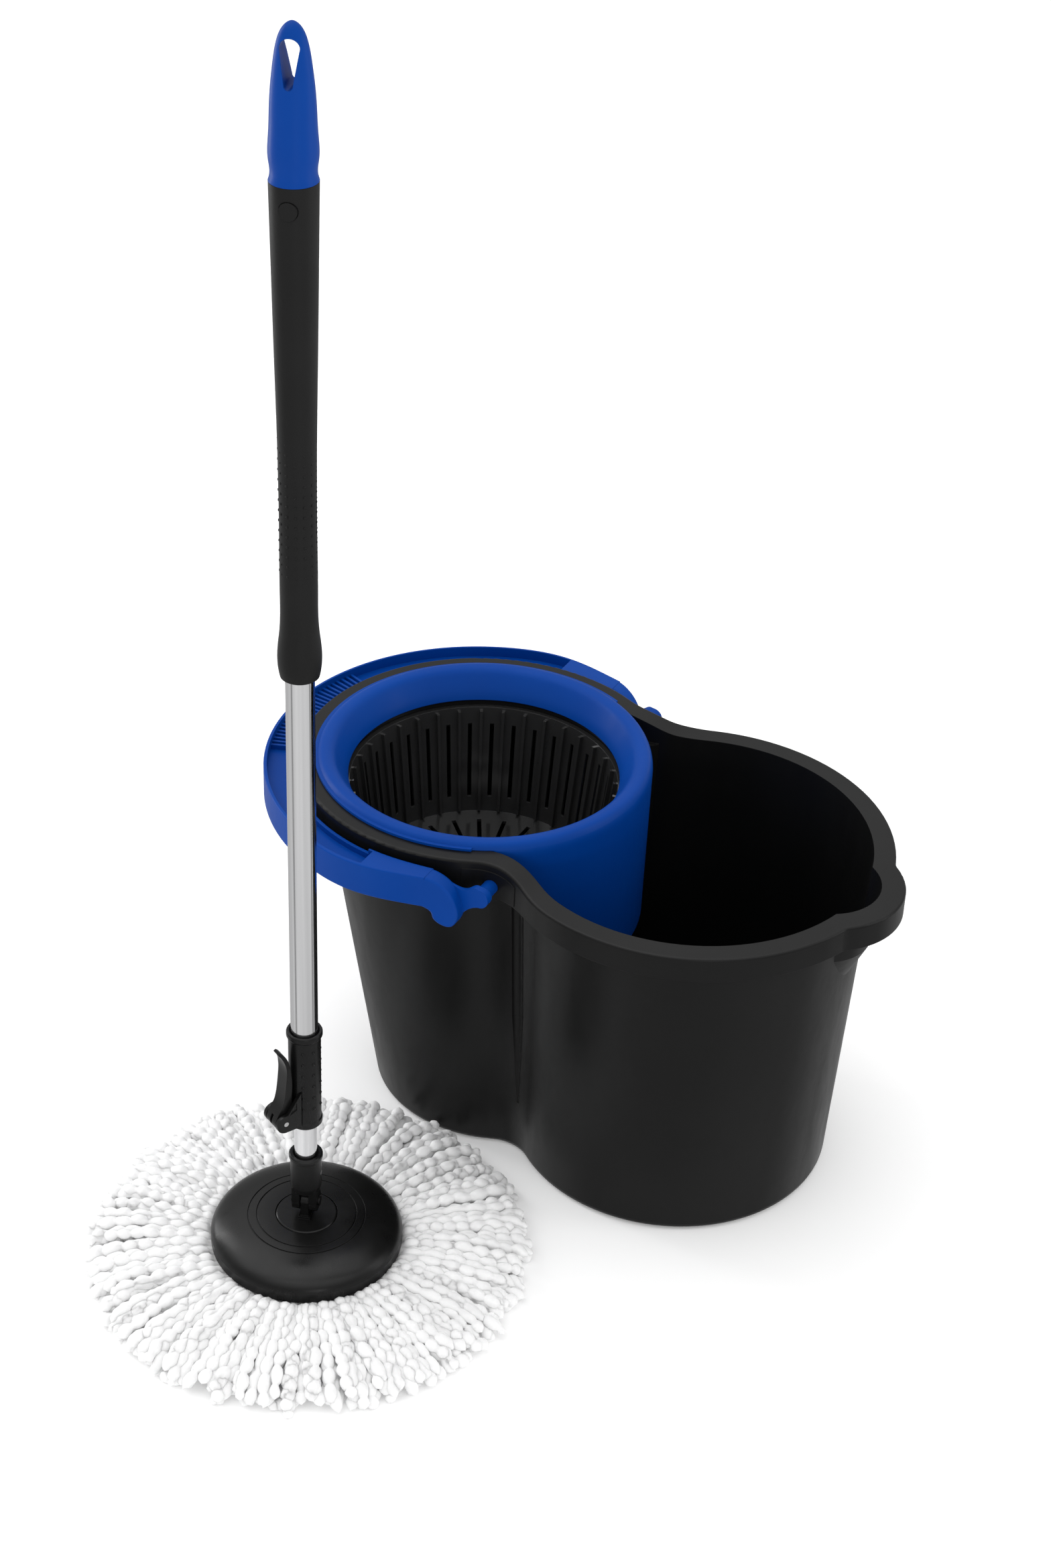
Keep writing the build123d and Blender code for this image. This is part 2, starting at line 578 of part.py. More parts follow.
def make_clamp_lever():
    """Leaf lever with a forked cam foot and an outward tip."""
    reach = LEVER_PIN_OUT
    side = [
        Spline((reach - 7.0, LEVER_PIN_Z + 3), (15.6, 166), (15.2, 186), (16.4, 203), tangents=((-0.6, 1), (0.1, 1))),
        Spline((16.4, 203), (18.6, 212), (23.8, 219), tangents=((0.1, 1), (1, 0.9))),
        Line((23.8, 219), (25.2, 217.2)),
        Spline((25.2, 217.2), (20.6, 208), (20.2, 190), (24.6, 166), (reach + 7.2, LEVER_PIN_Z + 3), tangents=((-0.8, -1), (0.4, -1))),
        ThreePointArc((reach + 7.2, LEVER_PIN_Z + 3), (reach + 0.3, LEVER_PIN_Z - 7.8), (reach - 7.0, LEVER_PIN_Z + 3)),
    ]
    leaf = extrude(Plane.XZ * make_face(Curve() + side), 6.6, both=True)
    plan = Plane.YZ * make_face(Curve() + [
        Polyline((-6.6, 140), (-6.6, 176)),
        Spline((-6.6, 176), (-7.8, 196), (-4.6, 214), (0, 220.5), tangents=((0, 1), (1, 0))),
        Spline((0, 220.5), (4.6, 214), (7.8, 196), (6.6, 176), tangents=((1, 0), (0, -1))),
        Polyline((6.6, 176), (6.6, 140), (-6.6, 140)),
    ])
    leaf = leaf & extrude(plan, 60)
    fork = block(10, 40, -1.3, 1.3, 140, LEVER_PIN_Z + 6)
    bore = rod_y(reach, LEVER_PIN_Z, LEVER_PIN_R + RUN_GAP, -12, 12)
    return Rot(0, 0, LEVER_ANGLE) * (leaf - fork - bore)


def make_lever_pin():
    """Pin across the collar lugs."""
    return Rot(0, 0, LEVER_ANGLE) * rod_y(LEVER_PIN_OUT, LEVER_PIN_Z, LEVER_PIN_R, -10.5, 10.5)


def make_upper_tube():
    """Outer chrome tube, cross-drilled for the anchor rivet."""
    return ring(UPPER_R, UPPER_R - UPPER_T, UPPER_Z0, UPPER_Z1) - rod_y(0, 835, 1.5, -16, 16)


def make_grip_sleeve():
    """Long waisted grip with a flared foot and a button hole."""
    outer = Spline(
        (14.0, SLEEVE_Z0 + 0.6), (15.4, 555), (15.4, 569), (13.9, 583), (13.2, 612), (13.0, 660), (13.2, 718),
        (14.5, 793), (15.6, 861), (16.4, SLEEVE_Z1),
    )
    edges = [
        outer,
        Polyline((16.4, SLEEVE_Z1), (13.1, SLEEVE_Z1), (13.1, UPPER_Z1 + 2), (UPPER_R, UPPER_Z1 + 2),
                 (UPPER_R, SLEEVE_Z0 + 1.5), (UPPER_R + 1.5, SLEEVE_Z0), (13.2, SLEEVE_Z0),
                 (14.0, SLEEVE_Z0 + 0.6)),
    ]
    sleeve = revolve(Plane.XZ * make_face(Curve() + edges), Axis.Z)
    return sleeve - rod_y(0, BUTTON_Z, BUTTON_R + 0.3, -18, -5)


def make_hang_grip():
    """Tapered end grip with a keyhole slot and a hollow spigot."""
    stations = [
        (910.2, 16.4, 16.4), (925, 16.2, 16.0), (941, 15.7, 15.0), (955, 15.1, 13.6), (970, 14.2, 12.0),
        (984, 12.6, 10.4), (998, 10.2, 8.6), (1006, 7.2, 6.6), (1010.4, 3.4, 3.4), (1011.6, 1.0, 1.0),
    ]
    faces = [Pos(0, 0, z) * Ellipse(a, b) for z, a, b in stations]
    grip = loft(faces)
    spigot = ring(13.05, 10.6, 868, 912) - rod_y(0, BUTTON_Z, BUTTON_R + 0.3, -18, -5)
    grip -= Pos(0, 0, 910) * Cylinder(10.6, 30, align=(Align.CENTER, Align.CENTER, Align.MIN))
    slot = Plane.XZ * make_face(Curve() + [
        Line((-3.0, 974.5), (-6.6, 996.5)),
        ThreePointArc((-6.6, 996.5), (0, 1002.6), (6.6, 996.5)),
        Line((6.6, 996.5), (3.0, 974.5)),
        ThreePointArc((3.0, 974.5), (0, 971.4), (-3.0, 974.5)),
    ])
    return (grip + spigot) - extrude(slot, 30, both=True)


def make_snap_button():
    """Round button with a catch flange inside the spigot."""
    head = rod_y(0, BUTTON_Z, BUTTON_R, -16.9, -8)
    flange = block(-6, 6, -8.5, -7.2, BUTTON_Z - 9, BUTTON_Z + 9)
    return head + flange


def make_button_spring():
    """Coil that pushes the button out."""
    helix = Helix(pitch=2.6, height=13, radius=3.6)
    wire = sweep(Plane(helix @ 0, z_dir=helix % 0) * Circle(0.45), path=helix)
    return Pos(0, -4.2, BUTTON_Z) * Rot(-90, 0, 0) * wire


def on_mop(shape):
    """Place a mop piece made about its own stick axis."""
    return Pos(MOP_X, MOP_Y, 0) * Rot(0, 0, MOP_TURN) * shape


def on_lobe(shape):
    """Place a bucket piece made about the wringer axis."""
    return Pos(LOBE_X, LOBE_Y, 0) * shape


BUCKET_PIECES = {
    "bucket": make_bucket,
    "wringer_lip": make_wringer_lip,
    "basket_cradle": make_basket_cradle,
    "basket_axle": make_axle,
    "thrust_washer": lambda: ring(8.5, AXLE_R, 178, 179),
    "axle_clip": make_axle_clip,
    "spin_basket": make_basket,
    "basket_bush": lambda: ring(8, AXLE_R + RUN_GAP, 179.2, 203.6),
    "basket_stud": make_basket_stud,
    "bail_handle": make_bail,
}

MOP_PIECES = {
    "mop_strands": make_strands,
    "refill_ring": make_refill_ring,
    "mop_plate": make_plate,
    "plate_hub": make_plate_hub,
    "hub_retainer": make_hub_retainer,
    "yoke": make_yoke,
    "yoke_pin": make_yoke_pin,
    "tube_rivet": lambda: rod_x(0, 88, 2.0, -12.3, 12.3),
    "lower_tube": make_lower_tube,
    "clutch_ring": make_clutch_ring,
    "guide_bush": make_guide_bush,
    "drive_nut": make_drive_nut,
    "nut_retainer": make_nut_retainer,
    "twist_rod": make_twist_rod,
    "rod_stop": make_rod_stop,
    "rod_anchor": make_rod_anchor,
    "anchor_rivet": lambda: rod_y(0, 835, 1.5, -10.4, 10.4),
    "clamp_collar": make_clamp_collar,
    "clamp_liner": make_clamp_liner,
    "clamp_lever": make_clamp_lever,
    "lever_pin": make_lever_pin,
    "upper_tube": make_upper_tube,
    "grip_sleeve": make_grip_sleeve,
    "hang_grip": make_hang_grip,
    "snap_button": make_snap_button,
    "button_spring": make_button_spring,
}

os.makedirs("parts", exist_ok=True)
for name, maker in BUCKET_PIECES.items():
    export_step(on_lobe(maker()), f"parts/{name}.step")
for name, maker in MOP_PIECES.items():
    export_step(on_mop(maker()), f"parts/{name}.step")
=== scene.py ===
import json
import math
import random

import bpy
import numpy as np
from mathutils import Matrix, Vector, noise


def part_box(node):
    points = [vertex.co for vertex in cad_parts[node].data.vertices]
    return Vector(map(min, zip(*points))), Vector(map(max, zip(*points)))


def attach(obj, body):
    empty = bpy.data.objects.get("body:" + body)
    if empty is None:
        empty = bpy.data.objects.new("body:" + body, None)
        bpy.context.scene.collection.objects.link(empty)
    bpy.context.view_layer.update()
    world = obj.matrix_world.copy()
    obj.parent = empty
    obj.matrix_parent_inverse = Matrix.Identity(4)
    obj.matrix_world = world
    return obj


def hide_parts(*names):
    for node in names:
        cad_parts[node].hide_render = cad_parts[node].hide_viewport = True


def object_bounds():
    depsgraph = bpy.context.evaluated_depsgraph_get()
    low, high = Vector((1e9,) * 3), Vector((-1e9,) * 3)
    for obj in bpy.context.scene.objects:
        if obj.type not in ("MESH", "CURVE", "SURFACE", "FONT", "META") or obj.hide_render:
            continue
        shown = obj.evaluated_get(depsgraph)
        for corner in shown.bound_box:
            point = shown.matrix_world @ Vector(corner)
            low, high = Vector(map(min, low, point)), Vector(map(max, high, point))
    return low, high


# Looks of the spin mop set. Metres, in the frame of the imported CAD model.

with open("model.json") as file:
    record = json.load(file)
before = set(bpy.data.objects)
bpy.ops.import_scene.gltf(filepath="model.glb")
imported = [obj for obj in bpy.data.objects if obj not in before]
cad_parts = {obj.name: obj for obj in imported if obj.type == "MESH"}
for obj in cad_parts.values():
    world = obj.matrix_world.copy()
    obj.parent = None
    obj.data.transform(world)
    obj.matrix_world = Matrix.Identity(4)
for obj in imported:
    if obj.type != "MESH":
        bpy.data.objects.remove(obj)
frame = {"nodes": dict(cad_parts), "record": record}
nodes = frame["nodes"]
cad_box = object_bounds()
MM = 0.001


def middle(node):
    """Middle of a CAD node's box."""
    low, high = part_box(node)
    return (Vector(low) + Vector(high)) / 2


def half_width(node):
    """Half of a CAD node's width along X."""
    low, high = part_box(node)
    return (high[0] - low[0]) / 2


def hinge(name):
    """A joint of the record by name."""
    return next(j for j in frame["record"]["behaviour"]["joints"] if j["name"] == name)


MOP = middle("upper_tube")             # the stick's axis
TILT_AXIS = Vector(hinge("head_tilt")["axis"])
MOP_TURN = math.atan2(TILT_AXIS.y, TILT_AXIS.x)      # the mop's turn about its stick
FLOOR_Z = cad_box[0][2]


# ---------------------------------------------------------------- materials

def grey(level):
    """Neutral colour."""
    return (level, level, level)


def new_material(name):
    """Empty principled material with object-space texture coordinates."""
    mat = bpy.data.materials.new(name)
    mat.use_nodes = True
    tree = mat.node_tree
    shader = tree.nodes["Principled BSDF"]
    coords = tree.nodes.new("ShaderNodeTexCoord")
    return mat, tree, shader, coords.outputs["Object"]


def noise_node(tree, vector, scale, detail=3.0, rough=0.5, stretch=None):
    """Noise texture; stretch scales the coordinates per axis first."""
    tex = tree.nodes.new("ShaderNodeTexNoise")
    tex.inputs["Scale"].default_value = scale
    tex.inputs["Detail"].default_value = detail
    tex.inputs["Roughness"].default_value = rough
    if stretch:
        mapping = tree.nodes.new("ShaderNodeMapping")
        mapping.inputs["Scale"].default_value = stretch
        tree.links.new(vector, mapping.inputs["Vector"])
        vector = mapping.outputs["Vector"]
    tree.links.new(vector, tex.inputs["Vector"])
    return tex.outputs["Fac"]


def spread(tree, fac, low, high):
    """Maps a noise value from its usual 0.3..0.7 to low..high."""
    ramp = tree.nodes.new("ShaderNodeMapRange")
    ramp.inputs["From Min"].default_value = 0.3
    ramp.inputs["From Max"].default_value = 0.7
    ramp.inputs["To Min"].default_value = low
    ramp.inputs["To Max"].default_value = high
    tree.links.new(fac, ramp.inputs["Value"])
    return ramp.outputs["Result"]


def tint(tree, fac, dark, light):
    """Colour between two colours by a noise value."""
    ramp = tree.nodes.new("ShaderNodeValToRGB")
    ramp.color_ramp.elements[0].position = 0.3
    ramp.color_ramp.elements[1].position = 0.7
    ramp.color_ramp.elements[0].color = (*dark, 1)
    ramp.color_ramp.elements[1].color = (*light, 1)
    tree.links.new(fac, ramp.inputs["Fac"])
    return ramp.outputs["Color"]


def bump(tree, height, strength, distance, under=None):
    """Bump from a height value, on top of another normal."""
    node = tree.nodes.new("ShaderNodeBump")
    node.inputs["Strength"].default_value = strength
    node.inputs["Distance"].default_value = distance
    tree.links.new(height, node.inputs["Height"])
    if under:
        tree.links.new(under, node.inputs["Normal"])
    return node.outputs["Normal"]


def rounded(tree, radius):
    """Softened edges."""
    node = tree.nodes.new("ShaderNodeBevel")
    node.samples = 4
    node.inputs["Radius"].default_value = radius
    return node.outputs["Normal"]


def plastic(name, dark, light, roughness, specular, grain, edge=0.5, coat=0.0):
    """Moulded plastic: fine grain, drifting gloss, faint handling marks."""
    mat, tree, shader, where = new_material(name)
    cloud = noise_node(tree, where, scale=9, detail=4)
    marks = noise_node(tree, where, scale=40, detail=5, rough=0.7, stretch=(1, 1, 0.25))
    fine = noise_node(tree, where, scale=1500, detail=2)
    tree.links.new(tint(tree, cloud, dark, light), shader.inputs["Base Color"])
    tree.links.new(spread(tree, marks, roughness - 0.06, roughness + 0.07), shader.inputs["Roughness"])
    soft = rounded(tree, edge * MM)
    wavy = bump(tree, cloud, strength=0.12, distance=2 * MM, under=soft)
    grainy = bump(tree, fine, strength=grain, distance=0.08 * MM, under=wavy)
    tree.links.new(grainy, shader.inputs["Normal"])
    shader.inputs["Specular IOR Level"].default_value = specular
    shader.inputs["Coat Weight"].default_value = coat
    shader.inputs["Coat Roughness"].default_value = 0.12
    return mat


def metal(name, dark, light, roughness, streak):
    """Drawn or plated steel: lengthwise streaks, smudges that dull it."""
    mat, tree, shader, where = new_material(name)
    lines = noise_node(tree, where, scale=260, detail=3, rough=0.6, stretch=(1, 1, 0.02))
    bands = noise_node(tree, where, scale=120, detail=2, rough=0.6, stretch=(1, 1, 0.008))
    smudge = noise_node(tree, where, scale=30, detail=4, rough=0.6)
    tree.links.new(tint(tree, bands, dark, light), shader.inputs["Base Color"])
    tree.links.new(spread(tree, smudge, roughness, roughness + 0.10), shader.inputs["Roughness"])
    drawn = bump(tree, lines, strength=streak, distance=0.05 * MM)
    tree.links.new(drawn, shader.inputs["Normal"])
    shader.inputs["Metallic"].default_value = 1.0
    return mat


def yarn_material():
    """White chenille pile."""
    mat, tree, shader, where = new_material("chenille_pile")
    fluff = noise_node(tree, where, scale=700, detail=4, rough=0.65)
    tuft = noise_node(tree, where, scale=190, detail=3)
    tree.links.new(tint(tree, tuft, grey(0.88), grey(0.93)), shader.inputs["Base Color"])
    tufted = bump(tree, tuft, strength=0.35, distance=0.9 * MM)
    fluffy = bump(tree, fluff, strength=0.5, distance=0.3 * MM, under=tufted)
    tree.links.new(fluffy, shader.inputs["Normal"])
    tree.links.new(spread(tree, fluff, 0.85, 1.0), shader.inputs["Roughness"])
    shader.inputs["Specular IOR Level"].default_value = 0.15
    shader.inputs["Sheen Weight"].default_value = 0.35
    shader.inputs["Sheen Roughness"].default_value = 0.5
    shader.inputs["Subsurface Weight"].default_value = 0.5
    shader.inputs["Subsurface Radius"].default_value = (1.0, 1.0, 1.0)
    shader.inputs["Subsurface Scale"].default_value = 4 * MM
    return mat


BLACK = plastic(
    "satin_black_moulding", dark=grey(0.0045), light=grey(0.0065),
    roughness=0.34, specular=0.17, grain=0.3,
)
HEAD_BLACK = plastic(
    "satin_black_head", dark=grey(0.004), light=grey(0.006),
    roughness=0.30, specular=0.22, grain=0.2,
)
GLOSS = plastic(
    "gloss_black_moulding", dark=grey(0.018), light=grey(0.027),
    roughness=0.16, specular=0.5, grain=0.05, edge=0.4, coat=0.5,
)
BLUE = plastic(
    "satin_blue_moulding", dark=(0.0002, 0.042, 0.264), light=(0.0003, 0.050, 0.298),
    roughness=0.40, specular=0.09, grain=0.25,
)
GRIP = plastic(
    "soft_black_grip", dark=grey(0.007), light=grey(0.010),
    roughness=0.5, specular=0.2, grain=0.8,
)
WHITE = plastic(
    "natural_white_moulding", dark=(0.72, 0.72, 0.70), light=(0.8, 0.8, 0.78),
    roughness=0.45, specular=0.4, grain=0.3,
)
CHROME = metal(
    "chromed_tube", dark=(0.62, 0.62, 0.63), light=(0.96, 0.96, 0.97),
    roughness=0.09, streak=0.15,
)
STEEL = metal("plain_steel", dark=grey(0.5), light=grey(0.62), roughness=0.24, streak=0.4)
YARN = yarn_material()

BY_SLOT = {
    "black_plastic": BLACK, "gloss_black": GLOSS, "blue_plastic": BLUE, "black_grip": GRIP,
    "chrome_tube": CHROME, "steel": STEEL, "white_yarn": YARN, "white_plastic": WHITE,
}
HEAD_PIECES = (
    "mop_plate", "plate_hub", "hub_retainer", "yoke", "yoke_pin", "clamp_collar", "clamp_lever",
)

for part in frame["record"]["subparts"]:
    look = HEAD_BLACK if part["node"] in HEAD_PIECES else BY_SLOT[part["material_slot"]]
    for slot in nodes[part["node"]].material_slots:
        slot.material = look


# ---------------------------------------------------------------- mesh helpers

def mesh_object(name, verts, faces, material, body):
    """Smooth mesh piece that rides on a body."""
    mesh = bpy.data.meshes.new(name)
    mesh.from_pydata(verts, [], faces)
    mesh.materials.append(material)
    mesh.polygons.foreach_set("use_smooth", [True] * len(mesh.polygons))
    mesh.update()
    obj = bpy.data.objects.new(name, mesh)
    bpy.context.collection.objects.link(obj)
    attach(obj, body)
    return obj


def tube_faces(rings, sides, first):
    """Quads of a tube of rings, with a fan at each end."""
    faces = []
    for k in range(rings - 1):
        a = first + k * sides
        for j in range(sides):
            n = (j + 1) % sides
            faces.append((a + j, a + n, a + sides + n, a + sides + j))
    start = first + rings * sides
    last = first + (rings - 1) * sides
    for j in range(sides):
        n = (j + 1) % sides
        faces.append((first + n, first + j, start))
        faces.append((last + j, last + n, start + 1))
    return faces


# ---------------------------------------------------------------- yarn

SIDES = 8                   # corners of a strand's section
STEP = 1.75 * MM            # distance between a strand's sections
ROOT_R = 0.054              # where strands leave the refill ring
LAYERS_PART = 0.03          # distance from there over which the layers part
PLATE_EDGE = half_width("mop_plate")
STRAND_REACH = half_width("mop_strands")
STRAND_SEED = 4

BEAD_R = (4.2, 5.0)                    # of the thinnest and thickest strand, in mm
BEAD_LENGTH = (11.0, 15.0)             # from pinch to pinch, in mm
BEAD_BLUNT = 0.60                      # below 1 the beads are blunter than a sine
PINCH = (0.36, 0.52)                   # radius at a pinch over the radius at a bead
PINCH_DRIFT, DRIFT_BEADS = 0.8, 1.35   # radians that pinches stray, and beads to a radian of the swing
SWELL = 0.10                           # uneven share of the radius
ROOT_SIZE, TIP_GROWTH = 0.98, 0.20     # radius at the root, and what it gains by the tip
ROUND_END = 6.0 * MM
ROUND_POWER = 2.2                      # shape of the rounded end
END_CAP = 0.4 * MM                     # how far an end's middle stands out
FLATNESS = 0.92                        # height of a strand over its width
LIE, LIE_LEAST = 0.82, 0.80            # height of a lying strand over its radius, usual and lowest
END_GAP = 1.0 * MM                     # strands stop short of the CAD solid's edge
LAY_SPREAD = 0.045                     # radians a strand may lie beside its place
CLUMP_SWAY = 0.05                      # radians neighbours sway together
SWAY, RIPPLE = 7 * MM, 1.8 * MM        # sideways, over long and short stretches
LIFT, BOB = 2.5 * MM, 1.6 * MM         # up and down, over long and short stretches
LUMP, LUMP_SCALE = 0.7 * MM, 210       # roughness of the surface, and cells of it to the metre
LOWEST = 0.3 * MM                      # lowest point over the floor

# radius and height in mm of the top layer's centre line, over the plate's edge and down to the floor
PILE = (
    (ROOT_R, 9.2), (0.068, 9.8), (PLATE_EDGE, 14.6), (0.082, 18.8), (0.095, 21.2), (0.125, 21.2),
    (0.150, 19.2), (0.168, 15.0), (0.178, 10.8), (0.186, 6.0),
)

# piece, strands, height drop in mm, shortest and longest reach
LAYERS = (
    ("yarn_upper", 66, 0.0, 0.90, 0.985),
    ("yarn_upper", 68, 1.8, 0.93, 1.0),
    ("yarn_middle", 70, 4.2, 0.94, 1.0),
    ("yarn_middle", 74, 7.2, 0.93, 1.0),
    ("yarn_lower", 84, 11.0, 0.92, 0.99),
)


def pile_height(r, drop, thick):
    """Height of a strand's centre line at radius r."""
    z = np.interp(r, [s[0] for s in PILE], [s[1] for s in PILE]) * MM
    fade = np.clip((r - ROOT_R) / LAYERS_PART, 0, 1)
    return np.maximum(z - drop * MM * fade, thick * LIE)


def wander(seed, r, scale, row):
    """Smooth noise along a strand, scale cells to the metre."""
    return np.array([noise.noise((seed, a * scale, row)) for a in r])


def strand_line(rng, angle, drop, reach, thick):
    """Centre line of one strand from the ring outwards."""
    count = int((reach - ROOT_R) / STEP) + 1
    r = np.linspace(ROOT_R, reach, count)
    out = np.clip((r - PLATE_EDGE) / (STRAND_REACH - PLATE_EDGE), 0, 1)
    seed = rng.uniform(0, 50)
    clump = [noise.noise((math.cos(angle) * 4, math.sin(angle) * 4, a * 12)) for a in r]
    sway = wander(seed, r, scale=24, row=0)
    ripple = wander(seed + 9, r, scale=80, row=3)
    lift = wander(seed + 20, r, scale=30, row=7)
    bob = wander(seed + 31, r, scale=90, row=2)
    theta = angle + out * (CLUMP_SWAY * np.array(clump) + rng.uniform(-LAY_SPREAD, LAY_SPREAD))
    theta = theta + (SWAY * sway * out + RIPPLE * ripple * (0.35 + out)) / r
    z = pile_height(r, drop, thick) + out * LIFT * lift + BOB * bob
    z = np.maximum(z, thick * LIE_LEAST)
    return np.stack([r * np.cos(theta), r * np.sin(theta), z], axis=1)


def strand_radius(rng, count, thick):
    """Radius along a strand: long beads between pinches, rounded end."""
    s = np.arange(count) * STEP
    bead = rng.uniform(*BEAD_LENGTH) * MM
    neck = rng.uniform(*PINCH)
    phase = rng.uniform(0, math.tau)
    drift = PINCH_DRIFT * np.sin(s / (bead * DRIFT_BEADS) + phase * 2)
    pulse = np.abs(np.sin(math.pi * s / bead + phase + drift)) ** BEAD_BLUNT
    swell = wander(phase * 7, s, scale=55, row=11)
    size = ROOT_SIZE + TIP_GROWTH * s / s[-1]
    radius = thick * (neck + (1 - neck) * pulse + SWELL * swell) * size
    left = np.clip((s[-1] - s) / ROUND_END, 0, 1)
    return radius * np.sqrt(np.clip(1 - (1 - left) ** ROUND_POWER, 0.02, 1))


def add_strand(rng, verts, faces, angle, drop, reach):
    """One strand's tube added to the lists."""
    thick = rng.uniform(*BEAD_R) * MM
    line = strand_line(rng, angle, drop, reach, thick)
    radius = strand_radius(rng, len(line), thick)
    along = np.gradient(line, axis=0)
    along /= np.linalg.norm(along, axis=1)[:, None]
    side = np.cross(along, (0, 0, 1))
    side /= np.linalg.norm(side, axis=1)[:, None]
    up = np.cross(side, along)
    first = len(verts)
    seed = rng.uniform(0, 90)
    for p, a, b, r in zip(line, side, up, radius):
        for j in range(SIDES):
            t = j * math.tau / SIDES
            d = a * math.cos(t) + b * math.sin(t) * FLATNESS
            q = p + d * r
            cell = (q[0] * LUMP_SCALE + seed, q[1] * LUMP_SCALE, q[2] * LUMP_SCALE)
            lump = noise.noise(cell)
            q = q + d * (LUMP * lump * min(1, r / thick))
            verts.append((q[0] + MOP.x, q[1] + MOP.y, max(q[2], LOWEST) + FLOOR_Z))
    for end, way in ((0, -1), (-1, 1)):
        q = line[end] + along[end] * way * END_CAP
        verts.append((q[0] + MOP.x, q[1] + MOP.y, q[2] + FLOOR_Z))
    faces += tube_faces(len(line), SIDES, first)


def make_yarn():
    """Fringe of beaded chenille strands in five layers, in three pieces."""
    rng = random.Random(STRAND_SEED)
    pieces = {}
    for name, number, drop, short, long in LAYERS:
        verts, faces = pieces.setdefault(name, ([], []))
        for k in range(number):
            angle = (k + rng.uniform(-0.25, 0.25)) * math.tau / number + drop
            reach = STRAND_REACH * rng.uniform(short, long) - END_GAP
            add_strand(rng, verts, faces, angle, drop, reach)
    for name, (verts, faces) in pieces.items():
        obj = mesh_object(name, verts, faces, YARN, "refill_body")
        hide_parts("mop_strands")


# ---------------------------------------------------------------- grip dots, collar bumps

DOT_CORNERS = 10
DOT_FOOT = -0.3             # level of the flat foot, as a share of the rise
DOT_SECTIONS = ((1.0, DOT_FOOT), (0.93, 0.35), (0.62, 0.8))     # shares of the radius and of the rise
DOT_COLUMNS, DOT_ROWS, DOT_PITCH = 13, 14, 7.7 * MM
DOT_R, DOT_RISE = 1.05 * MM, 0.45 * MM
DOT_FIRST = 84.5 * MM       # lowest row over the sleeve's lower end
SLEEVE_R = 13.05 * MM       # at the sleeve's narrow part
BUMP_COLUMNS, BUMP_ROWS, BUMP_PITCH = 7, 6, 11 * MM
BUMP_R, BUMP_RISE = 1.4 * MM, 0.9 * MM
BUMP_FIRST = 20 * MM        # lowest row over the collar's lower end
BUMP_START, BUMP_TURN = 278, 39        # degrees to the first column, and between columns
COLLAR_R = 12.6 * MM


def add_dome(verts, faces, place, out, radius, height):
    """Small raised dot with a flat foot set into the surface."""
    side = out.orthogonal().normalized()
    up = out.cross(side)
    first = len(verts)
    for share, level in DOT_SECTIONS:
        for j in range(DOT_CORNERS):
            t = j * math.tau / DOT_CORNERS
            flat = side * math.cos(t) + up * math.sin(t)
            verts.append(tuple(place + flat * radius * share + out * height * level))
    verts.append(tuple(place + out * height * DOT_FOOT))
    verts.append(tuple(place + out * height))
    faces += tube_faces(len(DOT_SECTIONS), DOT_CORNERS, first)


def dotted(name, around, angles, heights, dot, rise, material):
    """Rows of dots round the stick."""
    verts = []
    faces = []
    for angle in angles:
        out = Vector((math.cos(angle), math.sin(angle), 0))
        for z in heights:
            place = Vector((MOP.x, MOP.y, z)) + out * around
            add_dome(verts, faces, place, out, dot, rise)
    mesh_object(name, verts, faces, material, "stick_body")


def make_grip_dots():
    """Dots round the narrow part of the sleeve."""
    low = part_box("grip_sleeve")[0][2] + DOT_FIRST
    heights = [low + k * DOT_PITCH for k in range(DOT_ROWS)]
    angles = [MOP_TURN + k * math.tau / DOT_COLUMNS for k in range(DOT_COLUMNS)]
    dotted("grip_dots", SLEEVE_R, angles, heights, DOT_R, DOT_RISE, GRIP)


def make_collar_bumps():
    """Bumps round the clamp collar, away from its lugs."""
    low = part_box("clamp_collar")[0][2] + BUMP_FIRST
    heights = [low + k * BUMP_PITCH for k in range(BUMP_ROWS)]
    angles = [MOP_TURN + math.radians(BUMP_START + BUMP_TURN * k) for k in range(BUMP_COLUMNS)]
    dotted("collar_bumps", COLLAR_R, angles, heights, BUMP_R, BUMP_RISE, HEAD_BLACK)


make_yarn()
make_grip_dots()
make_collar_bumps()


# ---------------------------------------------------------------- floor, light, camera

FLOOR_HALF = 8.0            # half of the floor's side
FLOOR_DROP = 0.4 * MM       # floor's distance below the feet
FLOOR_GLOW = 0.14           # own light, which keeps the floor white


def make_floor():
    """Pale floor, kept out of reflections."""
    z = FLOOR_Z - FLOOR_DROP
    corners = [(FLOOR_HALF * x, FLOOR_HALF * y, z) for x, y in ((-1, -1), (1, -1), (1, 1), (-1, 1))]
    mesh = bpy.data.meshes.new("floor")
    mesh.from_pydata(corners, [], [(0, 1, 2, 3)])
    mat, tree, shader, where = new_material("floor_paper")
    cloud = noise_node(tree, where, scale=3)
    tree.links.new(tint(tree, cloud, grey(0.94), grey(0.96)), shader.inputs["Base Color"])
    shader.inputs["Roughness"].default_value = 0.9
    shader.inputs["Specular IOR Level"].default_value = 0.1
    shader.inputs["Emission Color"].default_value = (1, 1, 1, 1)
    shader.inputs["Emission Strength"].default_value = FLOOR_GLOW
    mesh.materials.append(mat)
    obj = bpy.data.objects.new("floor", mesh)
    bpy.context.collection.objects.link(obj)
    obj.visible_glossy = False


